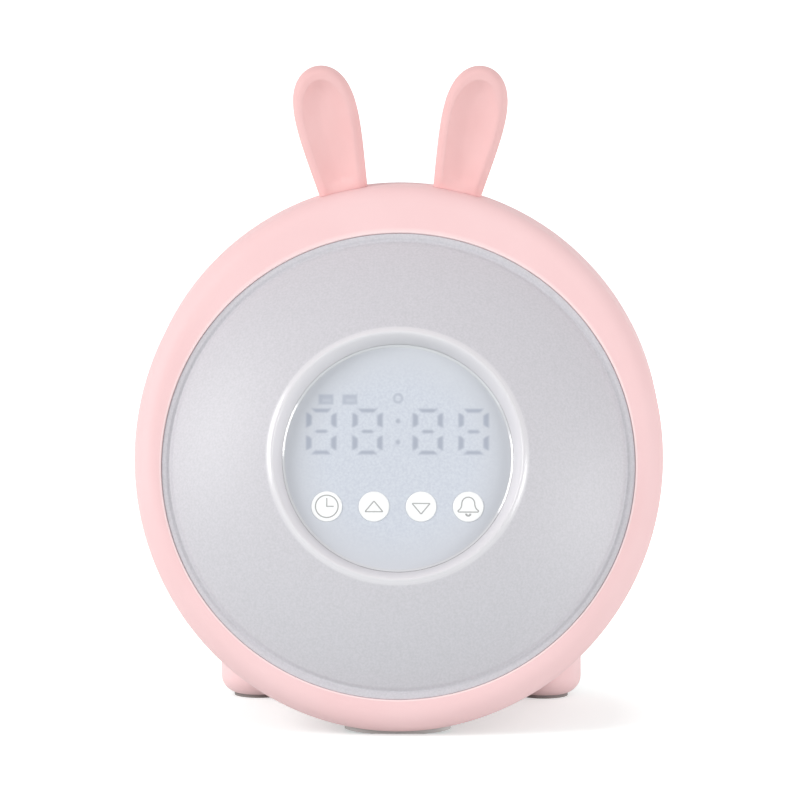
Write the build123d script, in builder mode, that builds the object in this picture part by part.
from build123d import *
import math
import os

# Rabbit-eared bedside alarm clock with a night light, in millimetres and degrees.
# +Z is up, -Y is the front, +X is to the right of someone facing the clock.
# The origin is on the table, in the middle of the clock's footprint.

os.makedirs("parts", exist_ok=True)


# ---------------------------------------------------------------- driving dimensions

# Pink shell: a drum lying on its side, its front cut by a leaning plane
drum_radius = 85.0
drum_depth = 100.0
back_round = 26.0
wall = 2.4
face_tilt = 18.0
band_side = 9.0
band_low = 11.8
lip_round = 7.0
lip_inner_round = 3.0
mouth_round = 0.8
floor_gap = 1.0
seat_gap = 0.05
seam_land = 1.7
seam_gap = 0.3
tongue_length = 2.0
tongue_fit = 0.1

# Frosted light dome
light_gap = 0.4
light_sink = 0.8
light_wall = 2.0
rim_flat = 2.2
rim_step = 0.4
dome_height = 16.8
dome_turn = 22.0
ring_reach = 3.75
ring_round = 1.6
ring_funnel = 50.0
flange_reach = 1.9
flange_thickness = 1.8

# Clock window in the middle of the dome
window_radius = 36.75
window_fit = 0.15
window_thickness = 1.8
window_edge_round = 0.5
window_sink = 5.2
neck_depth = 5.0

# Front keys
key_radius = 4.9
key_spacing = 15.0
key_drop = 15.7
key_proud = 0.3
key_fit = 0.15
key_flange = 0.9
key_flange_thickness = 0.8
key_flange_gap = 0.1
key_stem_radius = 1.6
key_edge_round = 0.25

# Small push switch under every key
switch_width = 6.0
switch_height = 2.6
switch_well_radius = 1.75
switch_well_depth = 1.6
stem_plunge = 0.6

# Clock display
board_thickness = 1.6
board_drop = 7.8
digit_height = 14.6
digit_width = 9.8
digit_pitch = 14.7
pair_pitch = 19.2
digit_raise = 8.9
segment_width = 2.3
segment_gap = 0.35
segment_thickness = 0.4
colon_spread = 6.8
icon_raise = 19.2
icon_width = 5.0
icon_height = 3.4
icon_places = (-22.5, -14.9)
icon_ring_radius = 1.7
module_width = 62.0
module_low = 0.4
module_high = 22.6
module_height = 5.0

# Display cup and reflector pan
cup_gap = 0.45
cup_wall = 1.2
cup_floor = 2.0
cup_boss_radius = 3.2
cup_boss_angles = (90, 198, 342)
cup_screw_bite = 5.0
pan_thickness = 2.0
pan_depth = 13.8
pan_mouth_inset = 7.0
pan_draft = 5.0
tab_radius = 2.3
tab_reach = 2.4
tab_boss_radius = 2.0
tab_count = 6
lead_slot_length = 14.0
lead_slot_width = 5.0

# Light board with its lamps
lamp_board_gap = 1.7
lamp_board_outer = 60.0
lamp_ring_radius = 49.0
lamp_size = 3.5
lamp_height = 1.6
lamp_count = 24
lamp_screw_radius = 56.5
lamp_screw_count = 4
lamp_boss_radius = 2.4
lamp_boss_height = 4.0

# Screws
shaft_radius = 0.9
thread_gap = 0.02
head_radius = 1.8
head_height = 1.2
washer_head_radius = 3.2
shaft_clearance = 0.25
head_clearance = 0.4
cross_width = 0.6
cross_depth = 0.7
large_shaft_radius = 1.4
large_head_radius = 2.8
large_head_height = 1.8

# Case posts
post_inset = 11.8
post_radius = 4.0
post_tube_radius = 4.6
post_shortest = 3.6
post_floor = 3.0
post_bite = 4.6
post_gap = 0.2

# Silicone ears
ear_angle = 12.6
ear_height = 41.4
ear_tip_radius = 9.5
ear_middle_height = 23.5
ear_middle_radius = 10.2
ear_base_radius = 7.7
ear_thickness = 9.0
ear_round = 2.6
ear_rim = 3.4
ear_mouth_round = 0.7
ear_hollow_depth = 3.0
ear_hollow_round = 2.2
ear_seam_gap = 1.5
ear_root = 4.0
ear_stem_radius = 4.2
ear_stem_fit = 0.2
ear_groove_radius = 3.0
ear_clip_radius = 6.5
ear_clip_thickness = 1.4
ear_clip_seat = 0.3
ear_tail = 3.0

# Feet and pads
foot_angle = 33.7
foot_back = 4.2
foot_radius = 12.3
foot_rise = 5.5
foot_round = 6.0
foot_top_round = 10.0
foot_pad_radius = 8.0
foot_pad_thickness = 1.6
foot_pad_sink = 0.8
foot_screw_boss_radius = 4.6
foot_screw_boss_rise = 0.3
foot_screw_length = 18.0
front_pad_width = 34.0
front_pad_length = 14.0
front_pad_inset = 10.2
front_pad_corner = 4.0
front_pad_skin = 1.4

# Speaker behind the grille in the back
speaker_raise = 16.0
speaker_radius = 22.5
speaker_flange_width = 4.0
speaker_plate = 1.0
speaker_basket_depth = 9.0
speaker_skin = 0.9
speaker_shoulder = 2.5
speaker_throat_radius = 11.0
speaker_magnet_radius = 13.0
speaker_magnet_height = 6.0
speaker_back_plate = 2.0
speaker_cone_throat = 6.0
speaker_cone_depth = 6.0
speaker_cone_skin = 0.5
gasket_thickness = 1.2
speaker_boss_place = 24.9
speaker_boss_radius = 2.1
speaker_screw_count = 4
grille_hole_radius = 1.1
grille_pitch = 3.6
grille_rings = 5
basket_rib = 5.0
speaker_lip = 0.1
speaker_cap_height = 2.0

# Main board on the back
main_board_width = 34.5
main_board_height = 34.0
main_board_place = (12.75, -31.0)
standoff_height = 6.0
standoff_radius = 2.4
standoff_inset = 2.6

# Power socket, lock slider and light button in the back
socket_place = (13.0, -42.0)
socket_width = 8.9
socket_height = 3.2
socket_skin = 0.35
socket_fit = 0.25
socket_sink = 1.1
socket_tongue = 0.7
dish_depth = 1.0
dish_margin = 2.2
button_place = (5.0, -26.5)
button_radius = 4.4
slider_place = (20.0, -26.5)
slider_width = 4.6
slider_height = 3.0
slider_travel = 4.0
slider_fit = 0.2
slider_flange = 1.2
slider_stem = 1.6
slider_body_length = 10.0
slider_body_height = 5.0
slider_body_rise = 3.6
slider_well_depth = 2.2
slider_plunge = 1.2

# Backup coin cell behind a bayonet door
cell_radius = 10.0
cell_height = 3.2
cell_fit = 0.4
door_place = (-20.0, -30.0)
door_radius = 12.4
door_thickness = 1.5
door_fit = 0.2
door_lip = 0.9
door_lug_thickness = 1.2
door_lug_gap = 0.15
door_lug_reach = 1.3
door_lug_width = 6.5
door_notch_width = 7.5
door_turn = 60.0
door_spigot_wall = 1.6
door_slot_length = 13.0
door_slot_width = 1.8
door_slot_depth = 0.7
door_seat_gap = 0.05
cup_skin = 1.6
contact_thickness = 0.4
contact_gap = 0.6
contact_width = 5.0
contact_length = 14.0
contact_skin = 0.25

# Flat lead from the clock board to the main board
lead_width = 10.0
lead_thickness = 0.6
lead_drop = 8.0
lead_side = -8.0
lead_bend = 12.0
lead_reach = 12.0
plug_width = 13.0
plug_height = 4.0
plug_rise = 4.0
small_plug_rise = 2.0

# Parts on the main board: x, y on the board's front, then width, height and rise
chip_sizes = (
    (-6.0, -6.0, 10.0, 10.0, 1.4),
    (8.0, -10.0, 6.0, 5.0, 1.5),
    (-14.0, -8.0, 3.0, 4.0, 1.2),
)
# Standing capacitors: x, y, radius and height
capacitor_sizes = ((10.0, 1.0, 3.2, 9.0), (3.0, 1.0, 2.5, 7.0))


# ---------------------------------------------------------------- places worked out from them

tilt = math.radians(face_tilt)
axis_height = floor_gap + drum_radius
opening_radius = drum_radius - band_side
light_radius = opening_radius - light_gap
face_rise = band_low + opening_radius
inner_radius = drum_radius - wall
ring_radius = window_radius + ring_reach

# The dome is one arc between its foot and the ring: the slopes at its ends differ by dome_turn
dome_foot_radius = light_radius - rim_flat
dome_foot_height = rim_step - light_sink
dome_span = dome_foot_radius - ring_radius
mean_slope = math.atan2(dome_height, dome_span)
half_turn = math.radians(dome_turn) / 2
dome_radius = dome_span / (2 * math.cos(mean_slope) * math.sin(half_turn))
foot_slope = mean_slope + half_turn
ring_slope = mean_slope - half_turn
dome_centre_radius = dome_foot_radius - dome_radius * math.sin(foot_slope)
dome_centre_height = dome_foot_height - dome_radius * math.cos(foot_slope)

# How far the dome stands in front of the drum's lower lip corner, and so where that corner is
dome_reach = dome_centre_radius * math.sin(tilt) + dome_centre_height * math.cos(tilt) + dome_radius
front_reach = max(dome_reach - face_rise * math.sin(tilt), 0)
lip_y = (front_reach - drum_depth) / 2
back_y = lip_y + drum_depth

face_top_depth = 2 * drum_radius * math.tan(tilt)
seam_y = lip_y + face_top_depth + lip_round * math.tan(math.radians(45) - tilt / 2) + seam_land
rear_front_y = seam_y + seam_gap
ear_y = rear_front_y + ear_seam_gap + ear_thickness / 2
foot_y = (rear_front_y + back_y) / 2 + foot_back
foot_x = drum_radius * math.sin(math.radians(foot_angle))

ring_crest = dome_foot_height + dome_height
window_front = ring_crest - window_sink
window_back = window_front - window_thickness
board_front = window_front - board_drop
board_back = board_front - board_thickness
cup_floor_back = board_back - cup_floor
neck_radius = window_radius + window_fit
neck_outer = neck_radius + light_wall
cup_radius = window_radius - cup_gap
cup_inner = cup_radius - cup_wall
lamp_board_inner = cup_radius + lamp_board_gap

flange_radius = opening_radius + flange_reach
flange_front = -wall
flange_back = flange_front - flange_thickness
pan_flange_back = flange_back - pan_thickness
pan_floor_front = flange_back - pan_depth
pan_floor_back = pan_floor_front - pan_thickness
pan_mouth_radius = flange_radius - pan_mouth_inset
pan_floor_radius = pan_mouth_radius - pan_draft
tab_place = opening_radius + tab_reach

# Case posts stand behind the pan's floor, and the upper ones are the shortest
post_side = (pan_floor_radius - post_inset) / math.sqrt(2)
post_places = [(x * post_side, z * post_side) for x in (-1, 1) for z in (-1, 1)]
post_top_z = axis_height + post_side + post_radius
face_y = lip_y + (post_top_z - floor_gap) * math.tan(tilt)
post_join_depth = back_y - face_y + pan_floor_back / math.cos(tilt) - post_shortest


def shell_radius(y, inset=0.0):
    """The drum's radius at this y, smaller where the back is rounded, its wall moved in by inset."""
    into_round = max(y - back_y + back_round, 0)
    return drum_radius - back_round + math.sqrt((back_round - inset) ** 2 - into_round**2)


# ---------------------------------------------------------------- planes and shared shapes

face_axis = Axis(
    (0, lip_y + face_rise * math.sin(tilt), floor_gap + face_rise * math.cos(tilt)),
    (0, -math.cos(tilt), math.sin(tilt)),
)
drum_axis = Axis((0, 0, axis_height), (0, 1, 0))


def face_plane(height=0.0):
    """A plane along the leaning front, its y up the front, height in front of the pink lip."""
    return Plane(face_axis.position, x_dir=(1, 0, 0), z_dir=face_axis.direction).offset(height)


def face_section():
    """The half plane that the turned pieces of the front are drawn in: x is radius, y is height."""
    return Plane(face_axis.position, x_dir=(1, 0, 0), z_dir=(0, -math.sin(tilt), -math.cos(tilt)))


def back_plane(depth=0.0):
    """A plane at a depth under the flat back, seen from behind: x to the viewer's right, y up."""
    return Plane((0, back_y, axis_height), x_dir=(-1, 0, 0), z_dir=(0, 1, 0)).offset(-depth)


def back_section(side, rise):
    """The half plane for turned pieces of the back: x is radius, y is height above the back face."""
    return Plane((-side, back_y, axis_height + rise), x_dir=(-1, 0, 0), z_dir=(0, 0, -1))


def back_axis(side, rise):
    return Axis((-side, back_y, axis_height + rise), (0, 1, 0))


def ear_plane(side, y=0.0):
    """An upright plane through the drum's axis, leaning outwards on one side: y is out along the ear."""
    lean = side * math.radians(ear_angle)
    return Plane((0, y, axis_height), x_dir=(math.cos(lean), 0, -math.sin(lean)), z_dir=(0, -1, 0))


def drum_body(inset, front_round):
    """The drum with every wall moved in by inset: turned, cut along the front and rounded there."""
    rounding = back_round - inset
    with BuildPart() as body:
        with BuildSketch(Plane((0, 0, axis_height), x_dir=(0, 1, 0), z_dir=(1, 0, 0))):
            with BuildLine():
                start = (lip_y - back_round, 0)
                corner = (back_y - back_round, drum_radius - inset)
                Polyline(start, (start[0], drum_radius - inset), corner)
                centre = (corner[0], drum_radius - back_round)
                CenterArc(centre, rounding, 0, 90)
                Polyline((back_y - inset, centre[1]), (back_y - inset, 0), start)
            make_face()
        revolve(axis=drum_axis)
        split(bisect_by=face_plane(-inset), keep=Keep.BOTTOM)
        front_edge = body.faces().sort_by(face_axis)[-1].edges()
        fillet(front_edge, front_round)
    return body.part


def pan_screw(length, shaft, head, height):
    """A cross-recessed pan-head screw: the head's underside on z = 0, the shaft down from it."""
    with BuildPart() as screw:
        with BuildSketch(Plane.XY):
            Circle(head)
        extrude(amount=height)
        chamfer(screw.edges().group_by(Axis.Z)[-1], height / 3)
        with BuildSketch(Plane.XY.offset(height)):
            Rectangle(head, cross_width)
            Rectangle(cross_width, head)
        extrude(amount=-cross_depth, mode=Mode.SUBTRACT)
        with BuildSketch(Plane.XY):
            Circle(shaft)
        extrude(amount=-length)
        chamfer(screw.edges().group_by(Axis.Z)[0], shaft / 3)
    return screw.part


def push_key(radius, proud, panel, drop):
    """A key cap with its flange under the panel and its stem, z = 0 on the panel's outer face."""
    flange_top = -panel - key_flange_gap
    stem_end = switch_height - stem_plunge - drop
    with BuildPart() as key:
        with BuildSketch(Plane.XY.offset(proud)):
            Circle(radius)
        extrude(amount=flange_top - proud)
        fillet(key.edges().group_by(Axis.Z)[-1], key_edge_round)
        with BuildSketch(Plane.XY.offset(flange_top)):
            Circle(radius + key_flange)
        extrude(amount=-key_flange_thickness)
        with BuildSketch(Plane.XY.offset(flange_top)):
            Circle(key_stem_radius)
        extrude(amount=stem_end - flange_top)
    return key.part


def push_switch():
    """A square push switch that stands on z = 0, with a well for the key's stem."""
    with BuildPart() as switch:
        with BuildSketch(Plane.XY):
            Rectangle(switch_width, switch_width)
        extrude(amount=switch_height)
        with BuildSketch(Plane.XY.offset(switch_height)):
            Circle(switch_well_radius)
        extrude(amount=-switch_well_depth, mode=Mode.SUBTRACT)
    return switch.part


def write(piece, name):
    piece.part.label = name
    export_step(piece.part, f"parts/{name}.step")


outer_drum = drum_body(0, lip_round)
inner_drum = drum_body(wall, lip_inner_round)
seat_drum = drum_body(-seat_gap, lip_round)


# ---------------------------------------------------------------- pink shell

with BuildPart() as front_housing:
    add(outer_drum)
    add(inner_drum, mode=Mode.SUBTRACT)
    split(bisect_by=Plane((0, seam_y, 0), z_dir=(0, 1, 0)), keep=Keep.BOTTOM)
    # Tongue that locates the rear shell
    with BuildSketch(Plane((0, seam_y, axis_height), z_dir=(0, 1, 0))):
        Circle(drum_radius - wall / 2 - tongue_fit)
        Circle(inner_radius, mode=Mode.SUBTRACT)
    extrude(amount=tongue_length)
    # Round mouth for the light
    with BuildSketch(face_plane()):
        Circle(opening_radius)
    extrude(amount=-2 * wall, mode=Mode.SUBTRACT)
    mouth = front_housing.edges().filter_by(GeomType.CIRCLE).sort_by(face_axis)[-1]
    fillet(mouth, mouth_round)
    # Screw bosses round the light, under the reflector's tabs
    with BuildSketch(face_plane(flange_back)):
        with PolarLocations(tab_place, tab_count, start_angle=90):
            Circle(tab_boss_radius)
    extrude(amount=flange_thickness)
    with BuildSketch(face_plane(flange_back)):
        with PolarLocations(tab_place, tab_count, start_angle=90):
            Circle(shaft_radius + thread_gap)
    extrude(amount=flange_thickness + wall / 2, mode=Mode.SUBTRACT)
write(front_housing, "front_housing")

# Depths under the back face
door_pocket_radius = cell_radius + cell_fit
lug_radius = door_pocket_radius + door_lug_reach
cup_outer = lug_radius + door_fit + cup_skin
groove_top = door_thickness + door_lip
lug_top = groove_top + door_lug_gap
lug_bottom = lug_top + door_lug_thickness
cell_top = lug_bottom + door_lug_gap
cell_bottom = cell_top + cell_height
cup_floor_top = cell_bottom + contact_gap
cup_depth = cup_floor_top + cup_skin
board_depth = wall + standoff_height
slot_length = slider_width + slider_travel + 2 * slider_fit
standoff_places = [
    (
        main_board_place[0] + x * (main_board_width / 2 - standoff_inset),
        main_board_place[1] + z * (main_board_height / 2 - standoff_inset),
    )
    for x in (-1, 1)
    for z in (-1, 1)
]
foot_shell_z = axis_height - math.sqrt(shell_radius(foot_y) ** 2 - foot_x**2)
# The screws' bosses end above the inside of the wall, all round the screws' heads
head_reach = foot_x + large_head_radius
foot_wall_radius = shell_radius(foot_y + large_head_radius, wall)
foot_wall_z = axis_height - math.sqrt(foot_wall_radius**2 - head_reach**2)
foot_boss_top = foot_wall_z + foot_screw_boss_rise
foot_places = [(-foot_x, foot_y), (foot_x, foot_y)]

# The clip of an ear's stem sits under the shell's wall
clip_top = shell_radius(ear_y + ear_clip_radius, wall) - ear_clip_seat


def stem_plane(side, reach):
    """A plane across the ear's stem, at a distance from the drum's axis, facing outwards."""
    upright = ear_plane(side, ear_y)
    return Plane(upright.from_local_coords((0, reach, 0)), x_dir=upright.x_dir, z_dir=upright.y_dir)


with BuildPart() as rear_housing:
    # Bosses inside the drum, trimmed to its outside: foot screws, screw tubes, cell cup, board
    with BuildSketch(Plane.XY.offset(foot_boss_top)):
        with Locations(*foot_places):
            Circle(foot_screw_boss_radius)
    extrude(amount=-foot_boss_top)
    with BuildSketch(back_plane(post_join_depth)):
        with Locations(*post_places):
            Circle(post_tube_radius)
    extrude(amount=post_join_depth)
    with BuildSketch(back_plane(cup_depth)):
        with Locations(door_place):
            Circle(cup_outer)
    extrude(amount=cup_depth)
    with BuildSketch(back_plane(board_depth)):
        with Locations(*standoff_places):
            Circle(standoff_radius)
    extrude(amount=board_depth)
    with BuildSketch(back_plane(wall + gasket_thickness + speaker_plate)):
        with Locations((0, speaker_raise)):
            with PolarLocations(speaker_boss_place, speaker_screw_count, start_angle=45):
                Circle(speaker_boss_radius)
    extrude(amount=wall + gasket_thickness + speaker_plate)
    add(outer_drum, mode=Mode.INTERSECT)
    # The shell itself
    add(outer_drum - inner_drum)
    split(bisect_by=Plane((0, rear_front_y, 0), z_dir=(0, 1, 0)), keep=Keep.TOP)
    # Rebate over the front shell's tongue
    with BuildSketch(Plane((0, rear_front_y, axis_height), z_dir=(0, 1, 0))):
        Circle(drum_radius - wall / 2)
        Circle(inner_radius - wall, mode=Mode.SUBTRACT)
    extrude(amount=tongue_length, mode=Mode.SUBTRACT)
    # Screw tubes are open from behind and closed by a thin floor at their front
    with BuildSketch(back_plane(post_join_depth)):
        with Locations(*post_places):
            Circle(large_shaft_radius + shaft_clearance)
    extrude(amount=post_join_depth, mode=Mode.SUBTRACT)
    with BuildSketch(back_plane(post_join_depth - post_floor)):
        with Locations(*post_places):
            Circle(large_head_radius + head_clearance)
    extrude(amount=post_join_depth, mode=Mode.SUBTRACT)
    # Coin cell pocket, door rebate, bayonet groove and the notches that let the lugs in
    with BuildSketch(back_plane()):
        with Locations(door_place):
            Circle(door_radius + door_fit)
    extrude(amount=-door_thickness, mode=Mode.SUBTRACT)
    with BuildSketch(back_plane()):
        with Locations(door_place):
            Circle(door_pocket_radius)
    extrude(amount=-cup_floor_top, mode=Mode.SUBTRACT)
    with BuildSketch(back_plane(groove_top)):
        with Locations(door_place):
            Circle(lug_radius + door_fit)
    extrude(amount=groove_top - cell_top, mode=Mode.SUBTRACT)
    with BuildSketch(back_plane()):
        with Locations(door_place):
            Circle(lug_radius + door_fit)
            Rectangle(2 * door_radius, door_notch_width, rotation=door_turn, mode=Mode.INTERSECT)
    extrude(amount=-cell_top, mode=Mode.SUBTRACT)
    # Grille: rings of round holes in front of the speaker
    with BuildSketch(back_plane()):
        with Locations((0, speaker_raise)):
            Circle(grille_hole_radius)
            for ring in range(1, grille_rings):
                with PolarLocations(ring * grille_pitch, 6 * ring):
                    Circle(grille_hole_radius)
    extrude(amount=-wall, mode=Mode.SUBTRACT)
    # Dishes and openings for the light button, the lock slider and the power socket
    with BuildSketch(back_plane()):
        with Locations(button_place):
            Circle(button_radius + dish_margin)
        with Locations(slider_place):
            SlotOverall(slot_length + 2 * dish_margin, slider_height + 2 * dish_margin)
        with Locations(socket_place):
            SlotOverall(socket_width + 2 * dish_margin, socket_height + 2 * dish_margin)
    extrude(amount=-dish_depth, mode=Mode.SUBTRACT)
    with BuildSketch(back_plane()):
        with Locations(button_place):
            Circle(button_radius + key_fit)
        with Locations(slider_place):
            Rectangle(slot_length, slider_height + 2 * slider_fit)
        with Locations(socket_place):
            SlotOverall(socket_width + 2 * socket_fit, socket_height + 2 * socket_fit)
    extrude(amount=-wall, mode=Mode.SUBTRACT)
    # Pilot holes of the board standoffs and the speaker bosses
    with BuildSketch(back_plane(board_depth)):
        with Locations(*standoff_places):
            Circle(shaft_radius + thread_gap)
    extrude(amount=standoff_height, mode=Mode.SUBTRACT)
    with BuildSketch(back_plane(wall + gasket_thickness + speaker_plate)):
        with Locations((0, speaker_raise)):
            with PolarLocations(speaker_boss_place, speaker_screw_count, start_angle=45):
                Circle(shaft_radius + thread_gap)
    extrude(amount=wall / 2 + gasket_thickness + speaker_plate, mode=Mode.SUBTRACT)
    # Holes for the foot screws and the stems of the ears
    with BuildSketch(Plane.XY.offset(foot_boss_top)):
        with Locations(*foot_places):
            Circle(large_shaft_radius + shaft_clearance)
    extrude(amount=-foot_boss_top, mode=Mode.SUBTRACT)
    for side in (-1, 1):
        with BuildSketch(stem_plane(side, clip_top)):
            Circle(ear_stem_radius + ear_stem_fit)
        extrude(amount=drum_radius - clip_top, mode=Mode.SUBTRACT)
write(rear_housing, "rear_housing")


# ---------------------------------------------------------------- frosted light dome

def on_dome(slope, depth):
    """The point of the dome's arc, depth under its surface, where it slopes inwards by this angle."""
    reach = dome_radius - depth
    return (
        dome_centre_radius + reach * math.sin(slope),
        dome_centre_height + reach * math.cos(slope),
    )


with BuildPart() as light_dome:
    with BuildSketch(face_section()):
        with BuildLine():
            outer = ThreePointArc(
                on_dome(foot_slope, 0), on_dome(mean_slope, 0), on_dome(ring_slope, 0)
            )
            crest_start = 90 - math.degrees(ring_slope)
            crest_turn = math.degrees(ring_slope) + ring_funnel
            crest_centre = on_dome(ring_slope, ring_round)
            crest = CenterArc(crest_centre, ring_round, crest_start, crest_turn)
            inner = ThreePointArc(
                on_dome(ring_slope, light_wall),
                on_dome(mean_slope, light_wall),
                on_dome(foot_slope, light_wall),
            )
            funnel_drop = ((crest @ 1).X - neck_radius) * math.tan(math.radians(ring_funnel))
            Polyline(
                crest @ 1,
                (neck_radius, (crest @ 1).Y - funnel_drop),
                (neck_radius, window_back - neck_depth),
                (neck_outer, window_back - neck_depth),
                (neck_outer, (inner @ 0).Y),
                inner @ 0,
            )
            Polyline(
                inner @ 1,
                ((inner @ 1).X, flange_back),
                (flange_radius, flange_back),
                (flange_radius, flange_front),
                (light_radius, flange_front),
                (light_radius, -light_sink),
                (dome_foot_radius, -light_sink),
                outer @ 0,
            )
        make_face()
    revolve(axis=face_axis)
    with BuildSketch(face_plane(flange_back)):
        with PolarLocations(tab_place, tab_count, start_angle=90):
            Circle(tab_boss_radius + shaft_clearance)
    extrude(amount=flange_thickness, mode=Mode.SUBTRACT)
write(light_dome, "light_dome")


# ---------------------------------------------------------------- clock window and front keys

key_places = [((i - 1.5) * key_spacing, -key_drop) for i in range(4)]
key_names = ("clock_key", "up_key", "down_key", "alarm_key")

with BuildPart() as clock_window:
    with BuildSketch(face_plane(window_back)):
        Circle(window_radius)
    extrude(amount=window_thickness)
    fillet(clock_window.edges().group_by(face_axis)[-1], window_edge_round)
    with BuildSketch(face_plane(window_back)):
        with Locations(*key_places):
            Circle(key_radius + key_fit)
    extrude(amount=window_thickness, mode=Mode.SUBTRACT)
write(clock_window, "clock_window")

for name, place in zip(key_names, key_places):
    with BuildPart() as key_cap:
        with Locations(face_plane(window_front).location * Location(place)):
            add(push_key(key_radius, key_proud, window_thickness, board_drop))
    write(key_cap, name)

with BuildPart() as key_switches:
    with Locations(*[face_plane(board_front).location * Location(place) for place in key_places]):
        add(push_switch())
write(key_switches, "key_switches")


# ---------------------------------------------------------------- clock display

digit_places = [
    side * pair_pitch / 2 + step * digit_pitch
    for side, step in ((-1, -1), (-1, 0), (1, 0), (1, 1))
]


def segment_outline(length):
    """The corners of one bar of a seven-segment figure, lying along x, with pointed ends."""
    half = segment_width / 2
    end = length / 2
    upper = [(-end, 0), (half - end, half), (end - half, half)]
    return upper + [(-x, -y) for x, y in upper]


def figure_bars():
    """Centre, length and turn of the seven bars of a figure eight."""
    across = digit_width - segment_width
    upright = (digit_height - segment_width) / 2
    for row in (-1, 0, 1):
        yield (0, row * upright), across - segment_gap, 0
    for side in (-1, 1):
        for row in (-1, 1):
            yield (side * across / 2, row * upright / 2), upright - segment_gap, 90


with BuildPart() as display_segments:
    with BuildSketch(face_plane(board_front + module_height)):
        for digit_x in digit_places:
            for (bar_x, bar_y), length, turn in figure_bars():
                with Locations((digit_x + bar_x, digit_raise + bar_y)):
                    Polygon(*segment_outline(length), rotation=turn)
        with Locations((0, digit_raise - colon_spread / 2), (0, digit_raise + colon_spread / 2)):
            Circle(segment_width / 2)
        with Locations(*[(place, icon_raise) for place in icon_places]):
            Rectangle(icon_width, icon_height)
        with Locations((0, icon_raise)):
            Circle(icon_ring_radius)
    extrude(amount=segment_thickness)
write(display_segments, "display_segments")

with BuildPart() as display_block:
    with BuildSketch(face_plane(board_front)):
        with Locations((0, (module_low + module_high) / 2)):
            Rectangle(module_width, module_high - module_low)
        Circle(cup_inner - head_clearance, mode=Mode.INTERSECT)
    extrude(amount=module_height)
write(display_block, "display_block")


cup_boss_place = cup_inner - cup_boss_radius + head_clearance
cup_boss_places = [
    (
        cup_boss_place * math.cos(math.radians(angle)),
        cup_boss_place * math.sin(math.radians(angle)),
    )
    for angle in cup_boss_angles
]
lead_place = (lead_side, -lead_drop)

with BuildPart() as display_board:
    with BuildSketch(face_plane(board_back)):
        Circle(cup_inner - shaft_clearance)
        with Locations(*cup_boss_places):
            Circle(shaft_radius + shaft_clearance, mode=Mode.SUBTRACT)
    extrude(amount=board_thickness)
write(display_board, "display_board")

with BuildPart() as display_cup:
    with BuildSketch(face_plane(pan_floor_front)):
        Circle(cup_radius)
        Circle(cup_inner, mode=Mode.SUBTRACT)
        with Locations(*cup_boss_places):
            Circle(cup_boss_radius)
        Circle(cup_radius, mode=Mode.INTERSECT)
    extrude(amount=cup_floor_back - pan_floor_front)
    with BuildSketch(face_plane(cup_floor_back)):
        Circle(cup_radius)
        with Locations(lead_place):
            SlotOverall(lead_slot_length, lead_slot_width, mode=Mode.SUBTRACT)
    extrude(amount=cup_floor)
    with BuildSketch(face_plane(board_back)):
        Circle(cup_radius)
        Circle(cup_inner, mode=Mode.SUBTRACT)
    extrude(amount=window_back - board_back)
    with BuildSketch(face_plane(pan_floor_front)):
        with Locations(*cup_boss_places):
            Circle(shaft_radius + thread_gap)
    extrude(amount=board_back - pan_floor_front, mode=Mode.SUBTRACT)
write(display_cup, "display_cup")


# ---------------------------------------------------------------- reflector pan, light board, lamps

with BuildPart() as reflector_pan:
    # Posts for the case screws, cut off inside the floor of the pan
    with BuildSketch(back_plane(post_join_depth + post_gap)):
        with Locations(*post_places):
            Circle(post_radius)
    extrude(amount=-drum_depth)
    split(bisect_by=face_plane(pan_floor_back + pan_thickness / 2), keep=Keep.BOTTOM)
    with BuildSketch(face_section()):
        with BuildLine():
            Polyline(
                (0, pan_floor_front),
                (pan_floor_radius, pan_floor_front),
                (pan_mouth_radius, flange_back),
                (flange_radius, flange_back),
                (flange_radius, pan_flange_back),
                (pan_mouth_radius + pan_thickness, pan_flange_back),
                (pan_floor_radius + pan_thickness, pan_floor_back),
                (0, pan_floor_back),
                close=True,
            )
        make_face()
    revolve(axis=face_axis)
    with BuildSketch(face_plane(pan_flange_back)):
        with PolarLocations(tab_place, tab_count, start_angle=90):
            Circle(tab_radius)
    extrude(amount=pan_thickness)
    with BuildSketch(face_plane(pan_floor_back)):
        with PolarLocations(lamp_screw_radius, lamp_screw_count):
            Circle(lamp_boss_radius)
    extrude(amount=-lamp_boss_height)
    # Holes: tab screws, case screws, light board screws, cup screws, slot for the flat lead
    with BuildSketch(face_plane(flange_back)):
        with PolarLocations(tab_place, tab_count, start_angle=90):
            Circle(shaft_radius + shaft_clearance)
    extrude(amount=-pan_thickness, mode=Mode.SUBTRACT)
    with BuildSketch(back_plane(post_join_depth + post_gap)):
        with Locations(*post_places):
            Circle(large_shaft_radius + thread_gap)
    extrude(amount=-post_bite - head_clearance, mode=Mode.SUBTRACT)
    with BuildSketch(face_plane(pan_floor_front)):
        with PolarLocations(lamp_screw_radius, lamp_screw_count):
            Circle(shaft_radius + thread_gap)
    extrude(amount=-pan_thickness - lamp_boss_height + head_clearance, mode=Mode.SUBTRACT)
    with BuildSketch(face_plane(pan_floor_front)):
        with Locations(*cup_boss_places):
            Circle(shaft_radius + shaft_clearance)
        with Locations(lead_place):
            SlotOverall(lead_slot_length, lead_slot_width)
    extrude(amount=-pan_thickness, mode=Mode.SUBTRACT)
write(reflector_pan, "reflector_pan")

with BuildPart() as lamp_board:
    with BuildSketch(face_plane(pan_floor_front)):
        Circle(lamp_board_outer)
        Circle(lamp_board_inner, mode=Mode.SUBTRACT)
        with PolarLocations(lamp_screw_radius, lamp_screw_count):
            Circle(shaft_radius + shaft_clearance, mode=Mode.SUBTRACT)
    extrude(amount=board_thickness)
write(lamp_board, "lamp_board")

lamp_board_front = pan_floor_front + board_thickness

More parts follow.
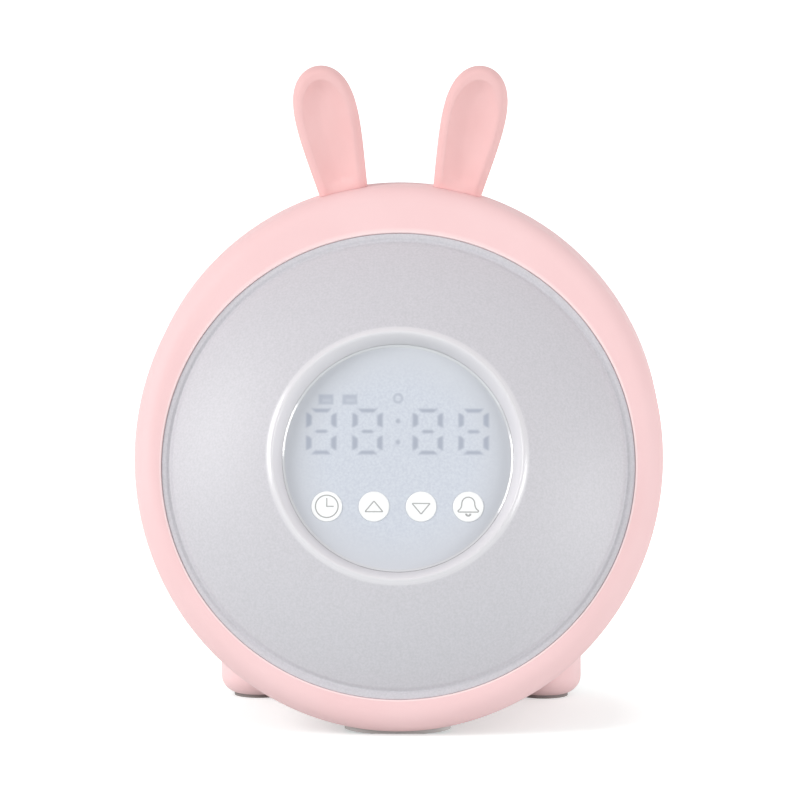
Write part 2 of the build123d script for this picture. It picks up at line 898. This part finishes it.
with BuildPart() as lamps:
    with BuildSketch(face_plane(lamp_board_front)):
        with PolarLocations(lamp_ring_radius, lamp_count):
            Rectangle(lamp_size, lamp_size)
    extrude(amount=lamp_height)
write(lamps, "lamps")


# ---------------------------------------------------------------- main board and its parts

board_front_depth = board_depth + board_thickness


def board_front_plane():
    """The main board's front, seen from the front: x towards +X, y up, centred on the board."""
    centre = back_plane(board_front_depth).from_local_coords((*main_board_place, 0))
    return Plane(centre, x_dir=(1, 0, 0), z_dir=(0, -1, 0))


with BuildPart() as main_board:
    with BuildSketch(back_plane(board_front_depth)):
        with Locations(main_board_place):
            RectangleRounded(main_board_width, main_board_height, standoff_inset / 2)
        with Locations(*standoff_places):
            Circle(shaft_radius + shaft_clearance, mode=Mode.SUBTRACT)
    extrude(amount=board_thickness)
write(main_board, "main_board")

with BuildPart() as board_chips:
    for x, y, width, height, rise in chip_sizes:
        with BuildSketch(board_front_plane()):
            with Locations((x, y)):
                Rectangle(width, height)
        extrude(amount=rise)
write(board_chips, "board_chips")

with BuildPart() as capacitors:
    for x, y, radius, height in capacitor_sizes:
        with BuildSketch(board_front_plane()):
            with Locations((x, y)):
                Circle(radius)
        extrude(amount=height)
write(capacitors, "capacitors")

with BuildPart() as power_socket:
    with BuildSketch(back_plane(board_depth)):
        with Locations(socket_place):
            SlotOverall(socket_width, socket_height)
    extrude(amount=board_depth - socket_sink)
    with BuildSketch(back_plane(socket_sink)):
        with Locations(socket_place):
            SlotOverall(socket_width - 2 * socket_skin, socket_height - 2 * socket_skin)
            Rectangle(socket_width - socket_height, socket_tongue, mode=Mode.SUBTRACT)
    extrude(amount=socket_sink + socket_tongue - board_depth, mode=Mode.SUBTRACT)
write(power_socket, "power_socket")

with BuildPart() as button_switch:
    with Locations(back_plane(board_depth).location * Location(button_place)):
        add(push_switch())
write(button_switch, "button_switch")

with BuildPart() as light_button:
    with Locations(back_plane().location * Location(button_place)):
        add(push_key(button_radius, 0, wall, board_depth))
write(light_button, "light_button")

slider_plate_length = slot_length + slider_travel + 2 * slider_fit
slider_flange_depth = wall + key_flange_gap
slider_stem_end = board_depth - slider_body_rise + slider_plunge
slider_rest = (slider_place[0] - slider_travel / 2, slider_place[1])

with BuildPart() as slider_switch:
    with BuildSketch(back_plane(board_depth)):
        with Locations(slider_place):
            Rectangle(slider_body_length, slider_body_height)
    extrude(amount=slider_body_rise)
    with BuildSketch(back_plane(board_depth - slider_body_rise)):
        with Locations(slider_place):
            Rectangle(slider_stem + slider_travel + 2 * slider_fit, slider_stem + 2 * slider_fit)
    extrude(amount=-slider_well_depth, mode=Mode.SUBTRACT)
write(slider_switch, "slider_switch")

with BuildPart() as lock_slider:
    with BuildSketch(back_plane()):
        with Locations(slider_rest):
            Rectangle(slider_width, slider_height)
    extrude(amount=-slider_flange_depth)
    with BuildSketch(back_plane(slider_flange_depth)):
        with Locations(slider_rest):
            Rectangle(slider_plate_length, slider_height + 2 * slider_flange)
    extrude(amount=-key_flange_thickness)
    with BuildSketch(back_plane(slider_flange_depth)):
        with Locations(slider_rest):
            Rectangle(slider_stem, slider_stem)
    extrude(amount=slider_flange_depth - slider_stem_end)
write(lock_slider, "lock_slider")


# ---------------------------------------------------------------- coin cell and its door

spigot_radius = door_pocket_radius - door_fit

with BuildPart() as cell_door:
    with BuildSketch(back_plane()):
        with Locations(door_place):
            Circle(door_radius)
    extrude(amount=door_seat_gap - door_thickness)
    with BuildSketch(back_plane()):
        with Locations(door_place):
            SlotOverall(door_slot_length, door_slot_width)
    extrude(amount=-door_slot_depth, mode=Mode.SUBTRACT)
    with BuildSketch(back_plane(lug_bottom)):
        with Locations(door_place):
            Circle(spigot_radius)
            Circle(spigot_radius - door_spigot_wall, mode=Mode.SUBTRACT)
    extrude(amount=lug_bottom - door_thickness + door_seat_gap)
    with BuildSketch(back_plane(lug_bottom)):
        with Locations(door_place):
            Circle(lug_radius)
            Rectangle(2 * lug_radius, door_lug_width, mode=Mode.INTERSECT)
            Circle(spigot_radius - door_spigot_wall / 2, mode=Mode.SUBTRACT)
    extrude(amount=door_lug_thickness)
write(cell_door, "cell_door")

with BuildPart() as coin_cell:
    with BuildSketch(back_plane(cell_bottom)):
        with Locations(door_place):
            Circle(cell_radius)
    extrude(amount=cell_height)
    fillet(coin_cell.edges().group_by(Axis.Y)[0], contact_thickness)
write(coin_cell, "coin_cell")

with BuildPart() as cell_contacts:
    with BuildSketch(back_plane(cup_floor_top)):
        with Locations(door_place):
            Rectangle(contact_length, contact_width)
    extrude(amount=contact_thickness)
    with BuildSketch(back_plane(cell_bottom - contact_thickness)):
        with Locations(door_place):
            Circle(door_pocket_radius - contact_skin / 4)
            Circle(door_pocket_radius - contact_skin, mode=Mode.SUBTRACT)
            with Locations((door_pocket_radius, 0)):
                Rectangle(contact_width, contact_width, mode=Mode.INTERSECT)
    extrude(amount=cell_height - contact_thickness)
write(cell_contacts, "cell_contacts")


# ---------------------------------------------------------------- speaker

flange_depth = wall + gasket_thickness
basket_start = flange_depth + speaker_plate
basket_end = flange_depth + speaker_basket_depth
speaker_inner = speaker_radius - speaker_flange_width
shoulder_radius = speaker_radius - speaker_shoulder

with BuildPart() as speaker_gasket:
    with BuildSketch(back_plane(wall)):
        with Locations((0, speaker_raise)):
            Circle(speaker_radius)
            Circle(speaker_inner, mode=Mode.SUBTRACT)
    extrude(amount=-gasket_thickness)
write(speaker_gasket, "speaker_gasket")

with BuildPart() as speaker_frame:
    with BuildSketch(back_section(0, speaker_raise)):
        with BuildLine():
            Polyline(
                (speaker_inner, -flange_depth),
                (speaker_radius, -flange_depth),
                (speaker_radius, -basket_start),
                (shoulder_radius, -basket_start),
                (speaker_throat_radius + speaker_skin, -basket_end),
                (speaker_cone_throat, -basket_end),
                (speaker_cone_throat, speaker_skin - basket_end),
                (speaker_throat_radius, speaker_skin - basket_end),
                (speaker_inner, -basket_start),
                close=True,
            )
        make_face()
    revolve(axis=back_axis(0, speaker_raise))
    with BuildSketch(back_plane(basket_end - 2 * speaker_skin)):
        with Locations((0, speaker_raise)):
            Circle(speaker_inner - speaker_skin)
            Circle(speaker_throat_radius + 2 * speaker_skin, mode=Mode.SUBTRACT)
            Rectangle(2 * speaker_radius, basket_rib, mode=Mode.SUBTRACT)
            Rectangle(basket_rib, 2 * speaker_radius, mode=Mode.SUBTRACT)
    extrude(amount=basket_end, mode=Mode.SUBTRACT)
write(speaker_frame, "speaker_frame")

with BuildPart() as speaker_magnet:
    with BuildSketch(back_plane(basket_end)):
        with Locations((0, speaker_raise)):
            Circle(speaker_magnet_radius)
    extrude(amount=-speaker_magnet_height)
    with BuildSketch(back_plane(basket_end + speaker_magnet_height)):
        with Locations((0, speaker_raise)):
            Circle(speaker_throat_radius)
    extrude(amount=-speaker_back_plate)
write(speaker_magnet, "speaker_magnet")

cone_edge = speaker_inner - speaker_lip
cone_end = flange_depth + speaker_cone_depth

with BuildPart() as speaker_cone:
    with BuildSketch(back_section(0, speaker_raise)):
        with BuildLine():
            cap = ThreePointArc(
                (0, speaker_cap_height - cone_end),
                (speaker_cone_throat / 2, speaker_cap_height * 3 / 4 - cone_end),
                (speaker_cone_throat, -cone_end),
            )
            Polyline(
                cap @ 1,
                (cone_edge, -flange_depth),
                (cone_edge, -flange_depth - speaker_cone_skin),
                (speaker_cone_throat, -cone_end - 2 * speaker_cone_skin),
                (0, -cone_end - 2 * speaker_cone_skin),
                cap @ 0,
            )
        make_face()
    revolve(axis=back_axis(0, speaker_raise))
write(speaker_cone, "speaker_cone")


# ---------------------------------------------------------------- flat lead between the boards

lead_start_height = board_back - small_plug_rise
lead_bend_height = pan_floor_back - lead_reach
lead_start = face_plane(lead_start_height).from_local_coords((*lead_place, 0))
lead_corner = face_plane(lead_bend_height).from_local_coords((*lead_place, 0))
lead_end_y = back_y - board_front_depth - plug_rise

with BuildPart() as flat_lead:
    with BuildSketch(Plane((lead_side, 0, 0), x_dir=(0, 1, 0), z_dir=(1, 0, 0))):
        with BuildLine() as lead_path:
            FilletPolyline(
                (lead_start.Y, lead_start.Z),
                (lead_corner.Y, lead_corner.Z),
                (lead_end_y, lead_corner.Z),
                radius=lead_bend,
            )
        trace(line_width=lead_thickness)
    extrude(amount=lead_width / 2, both=True)
write(flat_lead, "flat_lead")

with BuildPart() as lead_plugs:
    with BuildSketch(face_plane(board_back)):
        with Locations(lead_place):
            Rectangle(plug_width - lead_thickness, plug_height - lead_thickness)
    extrude(amount=-small_plug_rise)
    with BuildSketch(Plane((lead_side, lead_end_y, lead_corner.Z), x_dir=(1, 0, 0), z_dir=(0, 1, 0))):
        Rectangle(plug_width, plug_height)
    extrude(amount=plug_rise)
write(lead_plugs, "lead_plugs")


# ---------------------------------------------------------------- silicone ears

ear_circles = (
    (drum_radius - ear_root, ear_base_radius),
    (drum_radius + ear_middle_height, ear_middle_radius),
    (drum_radius + ear_height - ear_tip_radius, ear_tip_radius),
)
ear_front_y = ear_y - ear_thickness / 2
ear_floor_y = ear_front_y + ear_hollow_depth


def at_depth(edges, y):
    return edges.filter_by_position(Axis.Y, y - seat_gap, y + seat_gap)


for name, side in (("ear_left", -1), ("ear_right", 1)):
    with BuildPart() as ear:
        with BuildSketch(ear_plane(side, ear_y)):
            for reach, radius in ear_circles:
                with Locations((0, reach)):
                    Circle(radius)
            make_hull()
        extrude(amount=ear_thickness / 2, both=True)
        fillet(at_depth(ear.edges(), ear_front_y), ear_round)
        fillet(at_depth(ear.edges(), ear_front_y + ear_thickness), ear_round)
        # Spoon-shaped hollow in the front
        with BuildSketch(ear_plane(side, ear_front_y)):
            for reach, radius in ear_circles:
                with Locations((0, reach)):
                    Circle(radius - ear_rim)
            make_hull()
        extrude(amount=-ear_hollow_depth, mode=Mode.SUBTRACT)
        fillet(at_depth(ear.edges(), ear_floor_y), ear_hollow_round)
        fillet(at_depth(ear.edges(), ear_front_y), ear_mouth_round)
        add(seat_drum, mode=Mode.SUBTRACT)
        # Stem through the shell, a groove for the clip and a tail behind it
        with BuildSketch(stem_plane(side, drum_radius + ear_root / 2)):
            Circle(ear_stem_radius)
        extrude(amount=clip_top - drum_radius - ear_root / 2)
        with BuildSketch(stem_plane(side, clip_top)):
            Circle(ear_groove_radius)
        extrude(amount=-ear_clip_thickness)
        with BuildSketch(stem_plane(side, clip_top - ear_clip_thickness)):
            Circle(ear_stem_radius)
        extrude(amount=-ear_tail)
    write(ear, name)

with BuildPart() as ear_clips:
    for side in (-1, 1):
        with BuildSketch(stem_plane(side, clip_top)):
            Circle(ear_clip_radius)
            Circle(ear_groove_radius, mode=Mode.SUBTRACT)
            with Locations((side * ear_clip_radius, 0)):
                Rectangle(2 * ear_clip_radius, 2 * ear_groove_radius, mode=Mode.SUBTRACT)
        extrude(amount=-ear_clip_thickness)
write(ear_clips, "ear_clips")


# ---------------------------------------------------------------- feet and pads

foot_bottom = foot_pad_thickness - foot_pad_sink
foot_screw_end = foot_boss_top - foot_screw_length

for name, place in zip(("foot_left", "foot_right"), foot_places):
    with BuildPart() as foot:
        with BuildSketch(Plane.XY.offset(foot_bottom)):
            with Locations(place):
                Circle(foot_radius)
        extrude(amount=foot_shell_z + foot_rise)
        fillet(foot.edges().group_by(Axis.Z)[0], foot_round)
        fillet(foot.edges().group_by(Axis.Z)[-1], foot_top_round)
        add(seat_drum, mode=Mode.SUBTRACT)
        with BuildSketch(Plane.XY.offset(foot_bottom)):
            with Locations(place):
                Circle(foot_pad_radius)
        extrude(amount=foot_pad_sink, mode=Mode.SUBTRACT)
        with BuildSketch(Plane.XY.offset(foot_screw_end)):
            with Locations(place):
                Circle(large_shaft_radius + thread_gap)
        extrude(amount=foot_screw_length, mode=Mode.SUBTRACT)
    write(foot, name)

with BuildPart() as foot_pads:
    with BuildSketch(Plane.XY):
        with Locations(*foot_places):
            Circle(foot_pad_radius)
    extrude(amount=foot_pad_thickness)
write(foot_pads, "foot_pads")

with BuildPart() as front_pad:
    with BuildSketch(Plane.XY):
        with Locations((0, lip_y + front_pad_inset + front_pad_length / 2)):
            RectangleRounded(front_pad_width, front_pad_length, front_pad_corner)
    extrude(amount=2 * wall)
    # It follows the drum's curve and is flat only where it meets the table
    add(drum_body(-front_pad_skin, lip_round), mode=Mode.INTERSECT)
    add(outer_drum, mode=Mode.SUBTRACT)
write(front_pad, "front_pad")


# ---------------------------------------------------------------- screws

small_screw = (shaft_radius, head_radius, head_height)
washer_screw = (shaft_radius, washer_head_radius, head_height)
large_screw = (large_shaft_radius, large_head_radius, large_head_height)


def screw_group(name, places, length, sizes):
    """One node of equal screws, each head's underside on the plane of its place."""
    with BuildPart() as screws:
        with Locations(*places):
            add(pan_screw(length, *sizes))
    write(screws, name)


def on_plane(plane, points):
    return [plane.location * Location(point) for point in points]


def on_ring(plane, radius, count, start_angle=0, rise=0):
    """Equal places on a circle of a plane, its centre this far up the plane."""
    angles = [math.radians(start_angle + i * 360 / count) for i in range(count)]
    return on_plane(plane, [(radius * math.cos(a), rise + radius * math.sin(a)) for a in angles])


def flipped(plane):
    """The same plane facing the other way, its y unchanged."""
    return Plane(plane.origin, x_dir=-plane.x_dir, z_dir=-plane.z_dir)


tab_bite = flange_thickness + wall / 2 - head_clearance
cup_mirror = [(-x, y) for x, y in cup_boss_places]
mirrored_standoffs = [(-x, y) for x, y in standoff_places]

screw_group(
    "case_screws",
    on_plane(back_plane(post_join_depth - post_floor), post_places),
    post_floor + post_gap + post_bite,
    large_screw,
)
screw_group(
    "reflector_screws",
    on_ring(flipped(face_plane(pan_flange_back)), tab_place, tab_count, 90),
    pan_thickness + tab_bite,
    small_screw,
)
screw_group(
    "lamp_board_screws",
    on_ring(face_plane(lamp_board_front), lamp_screw_radius, lamp_screw_count),
    board_thickness + pan_thickness + lamp_boss_height - 2 * head_clearance,
    small_screw,
)
screw_group(
    "display_screws",
    on_plane(face_plane(board_front), cup_boss_places),
    board_thickness + cup_floor + cup_screw_bite,
    small_screw,
)
screw_group(
    "cup_screws",
    on_plane(flipped(face_plane(pan_floor_back)), cup_mirror),
    pan_thickness + cup_screw_bite,
    small_screw,
)
screw_group(
    "main_board_screws",
    on_plane(flipped(back_plane(board_front_depth)), mirrored_standoffs),
    board_thickness + standoff_height - head_clearance,
    small_screw,
)
screw_group(
    "speaker_screws",
    on_ring(
        flipped(back_plane(basket_start)),
        speaker_boss_place,
        speaker_screw_count,
        45,
        speaker_raise,
    ),
    speaker_plate + gasket_thickness + wall / 2 - head_clearance,
    washer_screw,
)
screw_group(
    "foot_screws",
    on_plane(Plane.XY.offset(foot_boss_top), foot_places),
    foot_screw_length,
    large_screw,
)
